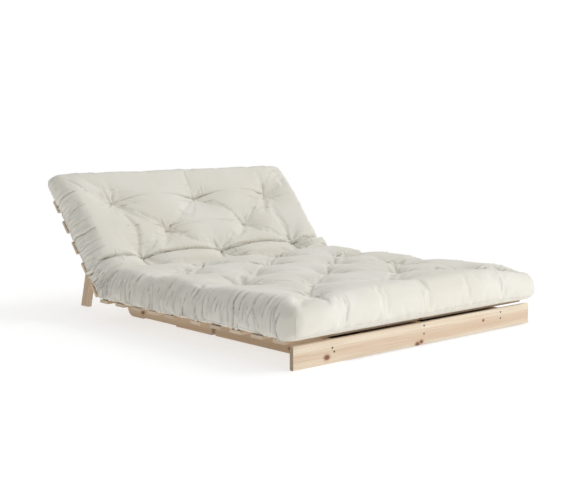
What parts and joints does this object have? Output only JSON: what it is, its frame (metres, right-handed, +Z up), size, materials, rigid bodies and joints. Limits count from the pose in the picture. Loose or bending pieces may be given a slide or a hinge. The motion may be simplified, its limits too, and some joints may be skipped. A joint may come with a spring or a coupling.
{
  "type": "futon sofa bed",
  "caption": "Low folding futon sofa bed: slatted pine frame with a hinged reclining backrest on prop legs, a sliding front section and a tufted cotton mattress.",
  "frame": {"origin": "on the floor under the middle of the whole piece, in the lounge position", "axes": "+X along the front board, the front faces -Y, +Z up"},
  "size_m": [1.428, 1.8199, 0.6604],
  "materials": {
    "board_pine": "bare planed pine",
    "frame_pine": "bare planed pine",
    "slat_pine": "bare planed pine",
    "zinc_steel": "zinc plated",
    "futon_cover": "natural woven cotton"
  },
  "bodies": {
    "base": {"middle_rail_left": "frame_pine", "middle_rail_centre": "frame_pine", "middle_rail_right": "frame_pine", "middle_slat_1": "slat_pine", "middle_slat_2": "slat_pine", "middle_slat_3": "slat_pine", "middle_slat_4": "slat_pine", "middle_slat_5": "slat_pine", "link_batten_left": "frame_pine", "link_batten_centre": "frame_pine", "link_batten_right": "frame_pine", "link_screws": "zinc_steel", "middle_slat_screws": "zinc_steel", "seat_mattress": "futon_cover", "back_pivot_bolts": "zinc_steel", "back_pivot_washers": "zinc_steel", "back_pivot_nuts": "zinc_steel"},
    "front_section": {"front_board": "board_pine", "front_rail_left": "frame_pine", "front_rail_centre": "frame_pine", "front_rail_right": "frame_pine", "front_slat_1": "slat_pine", "front_slat_2": "slat_pine", "front_slat_3": "slat_pine", "front_slat_4": "slat_pine", "front_slat_5": "slat_pine", "board_screws": "zinc_steel", "front_slat_screws": "zinc_steel"},
    "backrest": {"back_stile_left": "frame_pine", "back_stile_centre": "frame_pine", "back_stile_right": "frame_pine", "back_slat_1": "slat_pine", "back_slat_2": "slat_pine", "back_slat_3": "slat_pine", "back_slat_4": "slat_pine", "back_slat_5": "slat_pine", "back_slat_screws": "zinc_steel", "back_mattress": "futon_cover", "leg_pivot_bolts": "zinc_steel", "leg_pivot_washers": "zinc_steel", "leg_pivot_nuts": "zinc_steel"},
    "prop_leg_left": {"prop_leg_left": "frame_pine"},
    "prop_leg_right": {"prop_leg_right": "frame_pine"}
  },
  "joints": [
    {"name": "backrest_fold", "type": "hinge", "parent": "base", "child": "backrest", "pos_m": [0, 0.469, 0.04475], "axis": [1, 0, 0], "range_deg": [-48.2, 0]},
    {"name": "prop_leg_left_fold", "type": "hinge", "parent": "backrest", "child": "prop_leg_left", "pos_m": [-0.5, 0.76459, 0.36935], "axis": [1, 0, 0], "range_deg": [-59, 0]},
    {"name": "prop_leg_right_fold", "type": "hinge", "parent": "backrest", "child": "prop_leg_right", "pos_m": [0.5, 0.76459, 0.36935], "axis": [1, 0, 0], "range_deg": [-59, 0]},
    {"name": "front_section_slide", "type": "slide", "parent": "base", "child": "front_section", "axis": [0, -1, 0], "range_m": [0, 0.2]}
  ],
  "couplings": [
    {"joint": "prop_leg_left_fold", "follows": "backrest_fold", "ratio": 1.22},
    {"joint": "prop_leg_right_fold", "follows": "backrest_fold", "ratio": 1.22}
  ]
}
